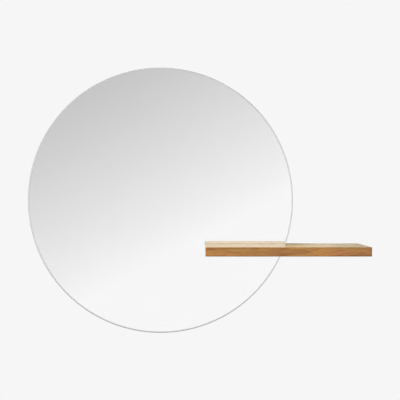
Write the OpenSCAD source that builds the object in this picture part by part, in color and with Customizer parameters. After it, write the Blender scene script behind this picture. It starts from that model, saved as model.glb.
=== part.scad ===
// Round wall mirror with an oak shelf that is scribed to the edge of the glass.
// Millimetres. X runs to the right, Y towards the wall and Z up. The origin lies on
// the wall, in the middle of the wall rail's row of screw holes.

/* [Mirror glass] */
// Diameter of the glass
mirror_d = 700; // [660:10:760]
// Thickness of the glass, whose rim is ground to a full half round
glass_t = 5; // [4:0.5:6]
// Thickness of the silvering with its paint
silver_t = 0.3; // [0.2:0.1:0.5]
// Thickness of the safety film behind the silvering
film_t = 0.3; // [0.2:0.1:0.5]

/* [Bonding tape] */
// Thickness of the foam tape between film and panel
tape_t = 1; // [0.5:0.1:2]
// Width of a strip
tape_w = 25; // [12:1:40]
// Number of upright strips
tape_count = 5; // [3:2:7]
// Distance from strip to strip
tape_pitch = 105; // [60:5:105]
// How far the strips' corners stay inside the panel's edge
tape_margin = 12; // [5:1:25]

/* [Backing panel] */
// Thickness of the panel
panel_t = 16; // [12:1:19]
// How far the panel's edge lies inside the edge of the glass
panel_inset = 20; // [12:1:30]
// Chamfer round the panel's wall side
panel_chamfer = 6; // [2:1:9]

/* [Hanging rails] */
// Wall of the hooked rail profile
rail_t = 2; // [1.5:0.1:2.5]
// Height of the rail's screwed flange
rail_flange_h = 22; // [18:1:30]
// Height of the rail's hook above its flange
rail_hook_h = 7; // [5:0.5:9]
// Depth of the throat behind a hook, beyond the other rail's wall
rail_play = 1; // [0.6:0.1:1.6]
// Length of the rail on the wall
wall_rail_l = 320; // [300:10:340]
// Length of the rail on the panel
panel_rail_l = 360; // [340:10:380]
// Height of the wall rail's holes below the top of the glass
rail_drop = 160; // [150:5:180]
// Diameter of the wall rail's holes
wall_hole_d = 5.5; // [4.5:0.1:6.5]
// Distance between the wall rail's two inner holes
inner_hole_pitch = 90; // [60:10:110]
// Distance between the wall rail's two outer holes
outer_hole_pitch = 270; // [220:10:280]

/* [Rail screws] */
// Number of screws in the panel rail
rail_screw_count = 4; // [2:1:6]
// Distance from the first screw to the last one
rail_screw_span = 315; // [250:5:320]
// Shank diameter of the pan head screws
rail_screw_d = 4; // [3:0.5:4.5]
// Length under the head
rail_screw_l = 14; // [10:1:15]
// Head diameter
rail_head_d = 8; // [7.5:0.5:9]
// Head height
rail_head_h = 2.5; // [1.8:0.1:3]

/* [Wall bumpers] */
// Diameter of a bumper
bumper_d = 24; // [16:1:30]
// How far a bumper's middle lies inside the panel's edge
bumper_inset = 40; // [30:1:60]
// Angle between a bumper and the lowest point of the panel
bumper_angle = 40; // [25:1:45]

/* [Shelf] */
// Length of the shelf
shelf_l = 410; // [380:5:450]
// Depth of the shelf from its front to the wall
shelf_depth = 150; // [130:5:170]
// Thickness of the board
shelf_t = 23; // [22:0.5:28]
// Height of the mirror's middle above the top of the shelf
shelf_drop = 115.5; // [100:0.5:130]
// How far the shelf runs across the glass, measured along its top
shelf_overlap = 212.5; // [200:0.5:225]
// Radius of the upright front corners
corner_r = 4; // [2:0.5:10]
// Radius of the long edges and end edges
edge_r = 1.2; // [0.5:0.1:2]
// Gap between the notch and the rim of the glass
notch_gap = 1.5; // [1:0.1:3]

/* [Shelf fixings] */
// Number of bolts through panel and glass
bolt_count = 3; // [2:1:3]
// Distance from bolt to bolt
bolt_pitch = 60; // [45:1:62]
// Distance from the shelf's left end to the first bolt
bolt_end = 40; // [30:1:45]
// Thread diameter of the bolts
bolt_d = 6; // [5:0.5:6]
// Clearance between a bolt and the holes that it passes through
bolt_fit = 0.3; // [0.2:0.1:0.5]
// Diameter of the domed bolt head
bolt_head_d = 10.5; // [9.5:0.5:12]
// Height of the domed bolt head
bolt_head_h = 3.3; // [2.8:0.1:3.8]
// Width across the flats of the bolt's socket
bolt_key = 4; // [3:0.5:4]
// Diameter of the flat washer
washer_d = 18; // [15:0.5:20]
// Thickness of the flat washer and of the spring washer
washer_t = 1.6; // [1:0.1:2]
// Diameter of the spring washer
spring_washer_d = 11.8; // [11:0.1:13]
// Depth of the pocket that sinks washers and head into the panel
pocket_depth = 4; // [3:0.5:5]
// Diameter of the hole through the glass
glass_hole_d = 12; // [11:0.5:14]
// Clearance between the sleeve and the glass
sleeve_fit = 0.3; // [0.2:0.1:0.4]
// Thickness of the soft pads between glass and shelf
pad_t = 0.8; // [0.5:0.1:1.5]
// Diameter of the soft pads
pad_d = 19; // [17:0.5:20]
// Diameter of the threaded inserts
insert_d = 9; // [8:0.5:10]
// Length of the threaded inserts
insert_l = 13; // [10:0.5:16]
// Depth of the insert's drilled hole beyond the insert
insert_over = 5; // [3:0.5:8]

/* [Shelf hanger] */
// Distance from the shelf's right end to the middle of the hanger plate
hanger_end = 50; // [35:1:80]
// Length of the hanger plate
hanger_l = 44; // [40:1:60]
// Height of the hanger plate
hanger_h = 18; // [17:0.5:20]
// Thickness of the hanger plate
hanger_t = 2; // [1.5:0.1:3]
// Corner radius of the hanger plate
hanger_corner_r = 3; // [1:0.5:5]
// Diameter of the keyhole's wide end
key_head_d = 8.5; // [8:0.1:9]
// Width of the keyhole's slot
key_slot_w = 4.5; // [4:0.1:5]
// Depth of the pocket behind the keyhole
key_pocket_depth = 8; // [6:0.5:12]
// Distance between the hanger's two screws
hanger_screw_pitch = 30; // [26:1:34]
// Shank diameter of the countersunk hanger screws
hanger_screw_d = 3.5; // [3:0.1:4]
// Head diameter of the hanger screws
hanger_head_d = 7; // [6.5:0.1:7.4]
// Length of the hanger screws
hanger_screw_l = 16; // [12:1:25]

/* [Hidden] */
$fn = 96;

over = 1;            // how far a cutter reaches past the face that it cuts
thread_fit = 0.05;   // clearance between a screw and its drilled hole
washer_fit = 0.3;    // clearance between a bolt and its washers
pocket_fit = 1;      // clearance round a washer in the panel's pocket
screw_tip_l = 2;     // length of a wood screw's point

// Distances from the wall, layer by layer. The rails' hooks engage by half their play.
wall_gap = 2 * rail_t + 1.5 * rail_play;
panel_front = wall_gap + panel_t;
film_back = panel_front + tape_t;
silver_back = film_back + film_t;
glass_back = silver_back + silver_t;
glass_front = glass_back + glass_t;
shelf_seat = glass_front + pad_t;

// The mirror hangs below the wall rail's holes
mirror_r = mirror_d / 2;
rim_r = glass_t / 2;
silver_r = mirror_r - rim_r;
panel_r = mirror_r - panel_inset;
mirror_z = rail_drop - mirror_r;
rail_web_z = rail_flange_h / 2 + rail_hook_h;
panel_rail_z = rail_web_z + rail_flange_h / 2;

// The shelf's left end follows the edge of the glass
shelf_top_z = mirror_z - shelf_drop;
shelf_mid_z = shelf_top_z - shelf_t / 2;
shelf_left = sqrt(pow(mirror_r, 2) - pow(shelf_drop, 2)) - shelf_overlap;
hanger_x = shelf_left + shelf_l - hanger_end;

bolt_x = [for (i = [0 : bolt_count - 1]) shelf_left + bolt_end + i * bolt_pitch];
bolt_hole_d = bolt_d + 2 * bolt_fit;
pocket_d = washer_d + 2 * pocket_fit;
pocket_floor = wall_gap + pocket_depth;
flat_washer_back = pocket_floor - washer_t;
bolt_seat = flat_washer_back - washer_t;
bolt_l = shelf_seat + insert_l - bolt_seat;

// The keyhole lets the shelf lift as far as the rails' hooks need
key_travel = rail_hook_h + 1;
key_narrow_z = key_travel / 2;

rail_screw_x = [for (i = [0 : rail_screw_count - 1])
    rail_screw_span * (i / (rail_screw_count - 1) - 0.5)];

// Turns a shape drawn flat so that it grows from the given distance off the wall into the room
module from_wall(distance, x = 0, z = 0)
    translate([x, -distance, z]) rotate([90, 0, 0]) children();

module at_bolts(distance)
    for (x = bolt_x) from_wall(distance, x, shelf_mid_z) children();

module at_rail_screws(distance)
    for (x = rail_screw_x) from_wall(distance, x, panel_rail_z) children();

module at_hanger_screws(distance)
    for (side = [-1, 1])
        from_wall(distance, hanger_x + side * hanger_screw_pitch / 2, shelf_mid_z) children();

module ring(d, hole_d, h)
    difference() {
        cylinder(d = d, h = h);
        translate([0, 0, -over]) cylinder(d = hole_d, h = h + 2 * over);
    }

// Outline with four equal round corners, centred
module rounded_outline(size, r) {
    square([size.x - 2 * r, size.y], center = true);
    square([size.x, size.y - 2 * r], center = true);
    for (x = [-1, 1], y = [-1, 1])
        translate([x * (size.x / 2 - r), y * (size.y / 2 - r)]) circle(r = r);
}

// ---- Mirror ----

// Sheet of glass with a half-round rim, drilled for the shelf's bolts
module mirror_glass() color("lightcyan")
    difference() {
        from_wall(glass_back, z = mirror_z)
            rotate_extrude() {
                square([mirror_r - rim_r, glass_t]);
                translate([mirror_r - rim_r, rim_r])
                    intersection() {
                        circle(r = rim_r);
                        translate([0, -rim_r]) square([rim_r, glass_t]);
                    }
            }
        at_bolts(glass_back - over) cylinder(d = glass_hole_d, h = glass_t + 2 * over);
    }

// A thin disc behind the glass with the same holes
module back_layer(distance, thickness)
    difference() {
        from_wall(distance, z = mirror_z) cylinder(r = silver_r, h = thickness);
        at_bolts(distance - over) cylinder(d = glass_hole_d, h = thickness + 2 * over);
    }

module silver_layer() color("silver") back_layer(silver_back, silver_t);

module safety_film() color("gainsboro") back_layer(film_back, film_t);

// Upright strips, each as long as the panel's circle lets it be, cut clear of the bolts
module bonding_tapes() color("dimgray")
    difference() {
        from_wall(panel_front, z = mirror_z)
            for (i = [0 : tape_count - 1]) {
                x = (i - (tape_count - 1) / 2) * tape_pitch;
                outer_x = abs(x) + tape_w / 2;
                half_l = sqrt(pow(panel_r - tape_margin, 2) - pow(outer_x, 2));
                translate([x - tape_w / 2, -half_l]) cube([tape_w, 2 * half_l, tape_t]);
            }
        at_bolts(panel_front - over) cylinder(d = pad_d, h = tape_t + 2 * over);
    }

// Round board with a chamfered wall side, bolt holes with pockets, and pilot holes for the rail
module backing_panel() color("#232323")
    difference() {
        from_wall(wall_gap, z = mirror_z)
            rotate_extrude()
                polygon([
                    [0, 0],
                    [panel_r - panel_chamfer, 0],
                    [panel_r, panel_chamfer],
                    [panel_r, panel_t],
                    [0, panel_t]
                ]);
        at_bolts(wall_gap - over) cylinder(d = bolt_hole_d, h = panel_t + 2 * over);
        at_bolts(wall_gap - over) cylinder(d = pocket_d, h = pocket_depth + over);
        at_rail_screws(wall_gap - over)
            cylinder(d = rail_screw_d + 2 * thread_fit, h = rail_screw_l - rail_t + 2 * over);
    }

// ---- Hanging rails ----

// Hooked profile: a flange flat on y = 0, a short web and a hook with a tapered tip.
// Drawn as seen from its end, with y towards the room as the first coordinate.
module rail_profile() {
    throat = rail_t + rail_play;
    hook_out = throat + rail_t;
    web_top = rail_flange_h / 2;
    tip_taper = rail_t / 4;
    polygon([
        [0, -web_top],
        [rail_t, -web_top],
        [rail_t, web_top - rail_t],
        [hook_out, web_top - rail_t],
        [hook_out, web_top + rail_hook_h - 2 * tip_taper],
        [hook_out - tip_taper, web_top + rail_hook_h],
        [throat + tip_taper, web_top + rail_hook_h],
        [throat, web_top + rail_hook_h - 2 * tip_taper],
        [throat, web_top],
        [0, web_top]
    ]);
}

// Lays the profile along X with its flange against the wall
module rail_bar(length)
    rotate([90, 0, -90])
        translate([0, 0, -length / 2]) linear_extrude(length) rail_profile();

module wall_rail() color("silver")
    difference() {
        rail_bar(wall_rail_l);
        for (pitch = [inner_hole_pitch, outer_hole_pitch], side = [-1, 1])
            from_wall(-over, side * pitch / 2)
                cylinder(d = wall_hole_d, h = rail_t + 2 * over);
    }

// The same bar turned over, with its flange on the panel and its hook behind the wall rail's
module panel_rail() color("silver")
    difference() {
        translate([0, -wall_gap, panel_rail_z]) rotate([180, 0, 0]) rail_bar(panel_rail_l);
        at_rail_screws(wall_gap - rail_t - over)
            cylinder(d = rail_screw_d + 2 * bolt_fit, h = rail_t + 2 * over);
    }

// Pan head wood screw, head first, drawn along z from the head's top
module pan_screw(shank_d, length, head_d, head_h) {
    dome_r = head_h / 2;
    rotate_extrude() {
        translate([0, dome_r]) square([head_d / 2, head_h - dome_r]);
        square([head_d / 2 - dome_r, dome_r]);
        intersection() {
            translate([head_d / 2 - dome_r, dome_r]) circle(r = dome_r);
            translate([head_d / 2 - dome_r, 0]) square([dome_r, dome_r]);
        }
        translate([0, head_h]) square([shank_d / 2, length - screw_tip_l]);
        translate([0, head_h + length - screw_tip_l])
            polygon([[0, 0], [shank_d / 2, 0], [0, screw_tip_l]]);
    }
}

module panel_rail_screws() color("gray")
    at_rail_screws(wall_gap - rail_t - rail_head_h)
        pan_screw(rail_screw_d, rail_screw_l, rail_head_d, rail_head_h);

// Soft pads that fill the gap between panel and wall
module wall_bumpers() color("#3a3a3a")
    for (side = [-1, 1]) {
        reach = panel_r - bumper_inset;
        from_wall(0, side * reach * sin(bumper_angle), mirror_z - reach * cos(bumper_angle))
            cylinder(d = bumper_d, h = wall_gap);
    }

// ---- Shelf ----

// Board seen from above: round corners at the front, square ones at the wall
module board_plan() {
    translate([0, -shelf_depth + corner_r]) square([shelf_l, shelf_depth - corner_r]);
    translate([corner_r, -shelf_depth]) square([shelf_l - 2 * corner_r, shelf_depth]);
    for (x = [corner_r, shelf_l - corner_r])
        translate([x, -shelf_depth + corner_r]) circle(r = corner_r);
}

// Where three rounded outlines meet, every long edge and end edge of the board is eased
module board_blank()
    intersection() {
        linear_extrude(shelf_t) board_plan();
        translate([0, -shelf_depth / 2, shelf_t / 2]) rotate([90, 0, 90])
            linear_extrude(shelf_l) rounded_outline([shelf_depth, shelf_t], edge_r);
        translate([shelf_l / 2, 0, shelf_t / 2]) rotate([90, 0, 0])
            linear_extrude(shelf_depth) rounded_outline([shelf_l, shelf_t], edge_r);
    }

// The notch is scribed to the disc: it follows the rim of the glass at one even gap
module disc_notch()
    from_wall(-over, z = mirror_z)
        cylinder(r = mirror_r + notch_gap, h = shelf_seat + over, $fn = 360);

// Room for the hanger plate, and behind its keyhole for the head of the wall screw
module hanger_pocket() {
    from_wall(-over, hanger_x, shelf_mid_z)
        linear_extrude(hanger_t + over) rounded_outline([hanger_l, hanger_h], hanger_corner_r);
    from_wall(0, hanger_x, shelf_mid_z)
        linear_extrude(key_pocket_depth) key_outline(key_head_d, key_head_d);
    at_hanger_screws(0)
        cylinder(d = hanger_screw_d + 2 * thread_fit, h = hanger_screw_l + over);
}

// Keyhole: a wide end below, a slot above it with a round end
module key_outline(wide_d, slot_w) {
    translate([0, -key_narrow_z]) circle(d = wide_d);
    translate([0, key_narrow_z]) circle(d = slot_w);
    square([slot_w, key_travel], center = true);
}

module shelf_board() color("burlywood")
    difference() {
        translate([shelf_left, 0, shelf_top_z - shelf_t]) board_blank();
        disc_notch();
        at_bolts(shelf_seat - over)
            cylinder(d = insert_d + 2 * thread_fit, h = insert_l + insert_over + over);
        hanger_pocket();
    }

// ---- Shelf fixings ----

module threaded_inserts() color("goldenrod")
    at_bolts(shelf_seat) ring(insert_d, bolt_d + 2 * thread_fit, insert_l);

// Domed head with a six-sided socket towards the wall, shank into the insert
module shelf_bolt() {
    collar_h = bolt_head_h / 3;
    dome_h = bolt_head_h - collar_h;
    socket_depth = dome_h;
    dome_r = (pow(bolt_head_d / 2, 2) + pow(dome_h, 2)) / (2 * dome_h);
    difference() {
        union() {
            rotate_extrude() {
                translate([0, dome_h]) square([bolt_head_d / 2, collar_h]);
                intersection() {
                    translate([0, dome_r]) circle(r = dome_r);
                    square([bolt_head_d / 2, dome_h]);
                }
            }
            translate([0, 0, bolt_head_h]) cylinder(d = bolt_d, h = bolt_l);
        }
        translate([0, 0, -over])
            cylinder(d = bolt_key / cos(30), h = socket_depth + over, $fn = 6);
    }
}

module shelf_bolts() color("gray") at_bolts(bolt_seat - bolt_head_h) shelf_bolt();

// Ring cut through once, as a spring washer is
module spring_washers() color("gray")
    at_bolts(bolt_seat)
        difference() {
            ring(spring_washer_d, bolt_d + 2 * washer_fit, washer_t);
            translate([-washer_t / 4, 0, -over])
                cube([washer_t / 2, spring_washer_d, washer_t + 2 * over]);
        }

module flat_washers() color("silver")
    at_bolts(flat_washer_back) ring(washer_d, bolt_d + 2 * washer_fit, washer_t);

// Plastic sleeves keep the bolts off the drilled glass, from the panel to the pads
module glass_sleeves() color("white")
    at_bolts(panel_front)
        ring(glass_hole_d - 2 * sleeve_fit, bolt_hole_d, glass_front - panel_front);

module glass_pads() color("whitesmoke")
    at_bolts(glass_front) ring(pad_d, bolt_hole_d, pad_t);

// ---- Shelf hanger ----

// Countersunk wood screw, drawn along z from the flat of its head
module countersunk_screw(shank_d, length, head_d) {
    sink = (head_d - shank_d) / 2;
    rotate_extrude()
        polygon([
            [0, 0],
            [head_d / 2, 0],
            [shank_d / 2, sink],
            [shank_d / 2, length - screw_tip_l],
            [0, length]
        ]);
}

module hanger_plate() color("silver")
    difference() {
        from_wall(0, hanger_x, shelf_mid_z)
            linear_extrude(hanger_t) rounded_outline([hanger_l, hanger_h], hanger_corner_r);
        from_wall(-over, hanger_x, shelf_mid_z)
            linear_extrude(hanger_t + 2 * over) key_outline(key_head_d, key_slot_w);
        at_hanger_screws(0)
            countersunk_screw(hanger_screw_d, hanger_screw_l, hanger_head_d);
    }

module hanger_screws() color("gray")
    at_hanger_screws(0) countersunk_screw(hanger_screw_d, hanger_screw_l, hanger_head_d);

mirror_glass();
silver_layer();
safety_film();
bonding_tapes();
backing_panel();
panel_rail();
panel_rail_screws();
wall_rail();
wall_bumpers();
shelf_board();
threaded_inserts();
shelf_bolts();
spring_washers();
flat_washers();
glass_sleeves();
glass_pads();
hanger_plate();
hanger_screws();
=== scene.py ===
# %% [markdown]
# # A frameless round mirror with a solid oak shelf
# The object is a drilled disc of mirror glass on a smaller black panel, hung on a hooked
# aluminium rail. A board of oak is scribed to the edge of the glass, bolted on through it, and
# reaches past it to the wall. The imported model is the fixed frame: every piece made here takes
# its place from it, in metres, with X to the right, Y into the wall and Z up.

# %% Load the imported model
import math

import bmesh
import bpy
from mathutils import Matrix, Vector


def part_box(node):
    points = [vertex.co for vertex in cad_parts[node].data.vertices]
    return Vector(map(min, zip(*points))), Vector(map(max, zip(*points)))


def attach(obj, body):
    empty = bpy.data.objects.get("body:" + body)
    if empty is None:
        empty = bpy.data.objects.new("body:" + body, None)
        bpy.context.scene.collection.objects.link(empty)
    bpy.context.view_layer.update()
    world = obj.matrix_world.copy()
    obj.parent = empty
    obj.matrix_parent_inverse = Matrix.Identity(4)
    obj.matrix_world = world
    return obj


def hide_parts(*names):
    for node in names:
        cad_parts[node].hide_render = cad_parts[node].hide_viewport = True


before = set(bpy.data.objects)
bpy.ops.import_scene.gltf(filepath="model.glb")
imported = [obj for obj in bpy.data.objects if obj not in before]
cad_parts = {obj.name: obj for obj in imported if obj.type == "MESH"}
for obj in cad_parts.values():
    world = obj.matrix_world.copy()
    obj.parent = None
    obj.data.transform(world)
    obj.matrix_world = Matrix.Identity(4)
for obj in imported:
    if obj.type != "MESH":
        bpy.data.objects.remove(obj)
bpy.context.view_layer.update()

scene = bpy.context.scene
scene.view_settings.view_transform = "Standard"
MM = 0.001
print("nodes in the frame:", len(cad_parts))

# %% [markdown]
# ## The camera
# The photograph was taken straight at the wall with the lens at the height of the mirror's
# middle, because the shelf's ends and its top run to one point there. A camera could be set by
# eye, but measures can be checked: the shelf's front is drawn about 7 % larger than the glass
# behind it, which gives the distance, and the disc's 265 pixels across give the focal length.

# %% Camera at the photograph's place
PICTURE = 400
DISC_PIXELS = 265.4
DISC_MIDDLE = (160.4, 200.2)
SENSOR = 36.0
CAMERA_GAP = 1.76

glass_low, glass_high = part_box("mirror_glass")
mirror_r = (glass_high.x - glass_low.x) / 2
mirror_middle = (glass_low + glass_high) / 2
pixel = 2 * mirror_r / DISC_PIXELS

camera_data = bpy.data.cameras.new("photo_camera")
camera_data.sensor_width = SENSOR
camera_data.lens = SENSOR * CAMERA_GAP / (PICTURE * pixel)
camera = bpy.data.objects.new("photo_camera", camera_data)
camera.location = (
    mirror_middle.x + (PICTURE / 2 - DISC_MIDDLE[0]) * pixel,
    glass_low.y - CAMERA_GAP,
    mirror_middle.z - (PICTURE / 2 - DISC_MIDDLE[1]) * pixel,
)
camera.rotation_euler = (math.radians(90), 0, 0)
scene.collection.objects.link(camera)
scene.camera = camera
print("focal length:", round(camera_data.lens, 1), "mm")

# %% [markdown]
# ## Nodes in short
# The light, every finish and the repeated shapes are node trees. They could be clicked together,
# but a few helpers say the same in one line each: a node with its wires, a step of arithmetic,
# a ramp from one range to another, and a mix of two values.


# %% Helpers for node trees
def add(tree, kind, wires=None, **settings):
    """One node. wires gives each input a number or colour, or another node's output."""
    made = tree.nodes.new(kind)
    for name, value in settings.items():
        setattr(made, name, value)
    for key, value in (wires or {}).items():
        if isinstance(value, bpy.types.NodeSocket):
            tree.links.new(value, made.inputs[key])
        else:
            made.inputs[key].default_value = value
    return made


def maths(tree, operation, *values, **settings):
    """One step of arithmetic on numbers or sockets."""
    wires = dict(enumerate(values))
    return add(tree, "ShaderNodeMath", wires, operation=operation, **settings).outputs[0]


def vectors(tree, operation, *values, out="Vector"):
    """One step on vectors. Its result is a Vector, or for a length or a product a Value."""
    wires = dict(enumerate(values))
    return add(tree, "ShaderNodeVectorMath", wires, operation=operation).outputs[out]


def parts_of(tree, vector):
    """The X, Y and Z of a vector, by name."""
    return add(tree, "ShaderNodeSeparateXYZ", {0: vector}).outputs


def ramp(tree, value, low, high, at_low=0.0, at_high=1.0, **settings):
    """A value carried from one range to another, clamped at both ends."""
    wires = {"Value": value, 1: low, 2: high, 3: at_low, 4: at_high}
    return add(tree, "ShaderNodeMapRange", wires, **settings).outputs["Result"]


def eased(tree, *values):
    """A ramp with a soft start and a soft end."""
    return ramp(tree, *values, interpolation_type="SMOOTHSTEP")


def between(tree, share, low, high):
    """Goes from one value to the other as the share rises."""
    return add(tree, "ShaderNodeMix", {0: share, 2: low, 3: high}, data_type="FLOAT").outputs[0]


print("helpers for node trees ready")

# %% [markdown]
# ## Light
# The photograph has an even, nearly white ground and very soft light from the upper left. A
# picture of a room could light the scene, but then the mirror would show that room, so the
# world is made of plain slopes. It gives each kind of ray its own answer. The camera sees the
# flat pale ground. Rays through the glass see what the mirror shows: an empty studio, white at
# the lower right and light grey at the upper left. It is dimmer to the sides, so that the disc
# stays apart from the ground when it is seen from there. Gloss sees a bright ceiling, and matt
# surfaces get light from above and a little from the front.

# %% World: the room in the mirror
GROUND = 0.9216
MIRROR_SHARE = 0.925
SLOPE_DIRECTION = (0.469, 0.0, -0.883)
GREY_AT = -0.3
GREY_TONE = 0.719
WHITE_AT = 0.0527
WHITE_TONE = 0.965
SCREEN_POWER = 2.27

world = bpy.data.worlds.new("studio")
scene.world = world
world.use_nodes = True
sky = world.node_tree
sky.nodes.clear()
way = add(sky, "ShaderNodeTexCoord").outputs["Generated"]
slope = vectors(sky, "DOT_PRODUCT", way, SLOPE_DIRECTION, out="Value")
tone = ramp(sky, slope, GREY_AT, WHITE_AT, GREY_TONE, WHITE_TONE)
room = maths(sky, "DIVIDE", maths(sky, "POWER", tone, SCREEN_POWER), MIRROR_SHARE)
axes = parts_of(sky, way)
print("the ground shows as", round(255 * (1.055 * GROUND ** (1 / 2.4) - 0.055)), "of 255")

# %% World: soft light for matt surfaces
ALL_ROUND = 0.12
FROM_ABOVE = 1.2
FROM_FRONT = 0.20
BEHIND_SHARE = 0.15
FROM_LOW_BACK = 1.3
TURNS_TO_WALL = (-0.2, 0.4)
LOW_SIDE = (-0.35, 0.05)
BACK_SIDE = (0.0, 0.4)


def lobe(axis, sign, strength, base):
    """Light that grows towards one side of the room, on top of a base."""
    side = maths(sky, "MULTIPLY", axes[axis], sign, use_clamp=True)
    return maths(sky, "MULTIPLY_ADD", side, strength, base)


wall_side = eased(sky, axes["Y"], *TURNS_TO_WALL, 1.0, BEHIND_SHARE)
above = maths(sky, "MULTIPLY_ADD", lobe("Z", 1.0, FROM_ABOVE, 0.0), wall_side, ALL_ROUND)
soft = lobe("Y", -1.0, FROM_FRONT, above)
low_share = eased(sky, axes["Z"], *LOW_SIDE, FROM_LOW_BACK, 0.0)
back_share = eased(sky, axes["Y"], *BACK_SIDE)
soft = maths(sky, "MULTIPLY_ADD", back_share, low_share, soft)
print("light from above:", FROM_ABOVE, "and from the front:", FROM_FRONT)

# %% [markdown]
# Above a certain height the room ends and a ceiling begins, and it has three strengths: one for
# gloss, one that the mirror shows, and a strong one for the light that the mirror throws on the
# shelf. Towards the wall there is no room at all. Gloss sees half light there, and the glass
# sees darkness, which draws the thin grey line of the rim.

# %% World: an answer for each kind of ray
GLOSS_ABOVE = 2.2
GLASS_ABOVE = 0.92
THROWN_ABOVE = 6.0
GLOSS_BEHIND = 0.5
GLASS_BEHIND = 0.05
GLASS_LOW = 0.3
SIDES = (0.25, 0.75)
SIDE_SHARE = 0.78
CEILING_AT = (0.20, 0.40)
WALL_AT = (0.0, 0.2)
WALL_HIGH = (0.10, 0.35)
WALL_LOW = (-0.30, -0.05)

rays = add(sky, "ShaderNodeLightPath").outputs
through = rays["Is Transmission Ray"]
direct = maths(sky, "SUBTRACT", through, rays["Diffuse Depth"], use_clamp=True)
top_light = between(sky, through, GLOSS_ABOVE, THROWN_ABOVE)
top_light = between(sky, direct, top_light, GLASS_ABOVE)
ceiling = between(sky, eased(sky, axes["Z"], *CEILING_AT), room, top_light)
sideways = maths(sky, "ABSOLUTE", axes["X"])
aside = eased(sky, sideways, *SIDES, 1.0, SIDE_SHARE)
ceiling = maths(sky, "MULTIPLY", ceiling, between(sky, direct, 1.0, aside))
high_side = between(sky, through, GLOSS_BEHIND, GLASS_BEHIND)
far_side = eased(sky, axes["Z"], *WALL_HIGH, GROUND, high_side)
low_side = between(sky, through, GROUND, GLASS_LOW)
far_side = between(sky, eased(sky, axes["Z"], *WALL_LOW, 1.0, 0.0), far_side, low_side)
mirrored = between(sky, eased(sky, axes["Y"], *WALL_AT), ceiling, far_side)
sharp = maths(sky, "MAXIMUM", rays["Is Glossy Ray"], through)
light = between(sky, rays["Is Camera Ray"], between(sky, sharp, soft, mirrored), GROUND)
background = add(sky, "ShaderNodeBackground", {"Color": light, "Strength": 1.0})
add(sky, "ShaderNodeOutputWorld", {"Surface": background.outputs[0]})
print("nodes in the world:", len(sky.nodes))

# %% [markdown]
# Three large soft boxes shape the wood: the key from the upper left, a weaker fill from the
# right, and one overhead for the shelf's top. A fourth, small one lies against the glass and
# stands for the light that the mirror throws down on the shelf. The mirror throws some by
# itself, but such light is found by chance and leaves the top speckled.

# %% Soft boxes
AIM = Vector((0.15, -0.08, -0.25))
MIRROR_AIM = Vector((0.2, -0.136, -0.3))


def soft_box(name, place, side, watts, aim=AIM):
    """A square lamp that only lights: no camera, glass or gloss shows it."""
    data = bpy.data.lights.new(name, "AREA")
    data.shape = "SQUARE"
    data.size = side
    data.energy = watts
    lamp = bpy.data.objects.new(name, data)
    lamp.location = place
    lamp.rotation_euler = (aim - Vector(place)).to_track_quat("-Z", "Y").to_euler()
    lamp.visible_camera = False
    lamp.visible_transmission = False
    lamp.visible_glossy = False
    scene.collection.objects.link(lamp)
    print("lamp", name, "of", watts, "W")


soft_box("key", (-1.5, -2.0, 1.5), 1.3, 20)
soft_box("fill", (1.9, -2.2, 0.6), 1.6, 14)
soft_box("overhead", (-0.6, -0.52, 1.2), 0.9, 37)
soft_box("thrown_by_mirror", (0.2, -0.036, -0.2), 0.2, 0.35, MIRROR_AIM)

# %% [markdown]
# ## The floor
# The object hangs on a wall, so the floor lies well below it, where the photograph's frame does
# not reach. To the camera it is as pale as the ground, and part of it is a real matt surface,
# which keeps the object's shadow. That part fades out before the floor ends, so no edge shows.
# In the mirror it has the tone of the room there, dimmed to the sides like the world.


# %% Helpers for stage pieces
def built(name, shape):
    """Turns a bmesh into an object of the scene."""
    piece = bpy.data.objects.new(name, bpy.data.meshes.new(name))
    shape.to_mesh(piece.data)
    shape.free()
    scene.collection.objects.link(piece)
    return piece


def place_in(tree):
    """The place on the object, which a pattern follows wherever the piece goes."""
    return add(tree, "ShaderNodeTexCoord").outputs["Object"]


def laid(tree, vector, **how):
    """A place moved, turned or stretched, by Location, Rotation and Scale."""
    return add(tree, "ShaderNodeMapping", {"Vector": vector, **how}).outputs[0]


def noise(tree, place, scale, detail, **more):
    """Clouds of a value between nought and one."""
    wires = {"Vector": place, "Scale": scale, "Detail": detail, **more}
    return add(tree, "ShaderNodeTexNoise", wires).outputs["Fac"]


def mottling(tree, place, scale, detail, low, high):
    """Clouds that go from low to high."""
    return ramp(tree, noise(tree, place, scale, detail), 0.3, 0.7, low, high)


def stage_look(name):
    """An empty material: its tree, the place on the object and the kinds of ray."""
    look = bpy.data.materials.new(name)
    look.use_nodes = True
    tree = look.node_tree
    tree.nodes.clear()
    return look, tree, place_in(tree), add(tree, "ShaderNodeLightPath").outputs


def dress_stage(piece, look, share, one, other):
    """Mixes two shaders by a share and puts the material on a stage piece."""
    tree = look.node_tree
    mixed = add(tree, "ShaderNodeMixShader", {0: share, 1: one.outputs[0], 2: other.outputs[0]})
    add(tree, "ShaderNodeOutputMaterial", {"Surface": mixed.outputs[0]})
    piece.data.materials.append(look)


# %% Floor
FLOOR_DROP = 1.45
FLOOR_R = 2.9
FLOOR_SHADE = 0.35
FLOOR_TONE = (0.61, 0.65)

shape = bmesh.new()
under_object = Matrix.Translation((AIM.x, 0, mirror_middle.z - FLOOR_DROP))
bmesh.ops.create_circle(shape, cap_ends=True, segments=96, radius=FLOOR_R, matrix=under_object)
floor = built("floor", shape)

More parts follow.
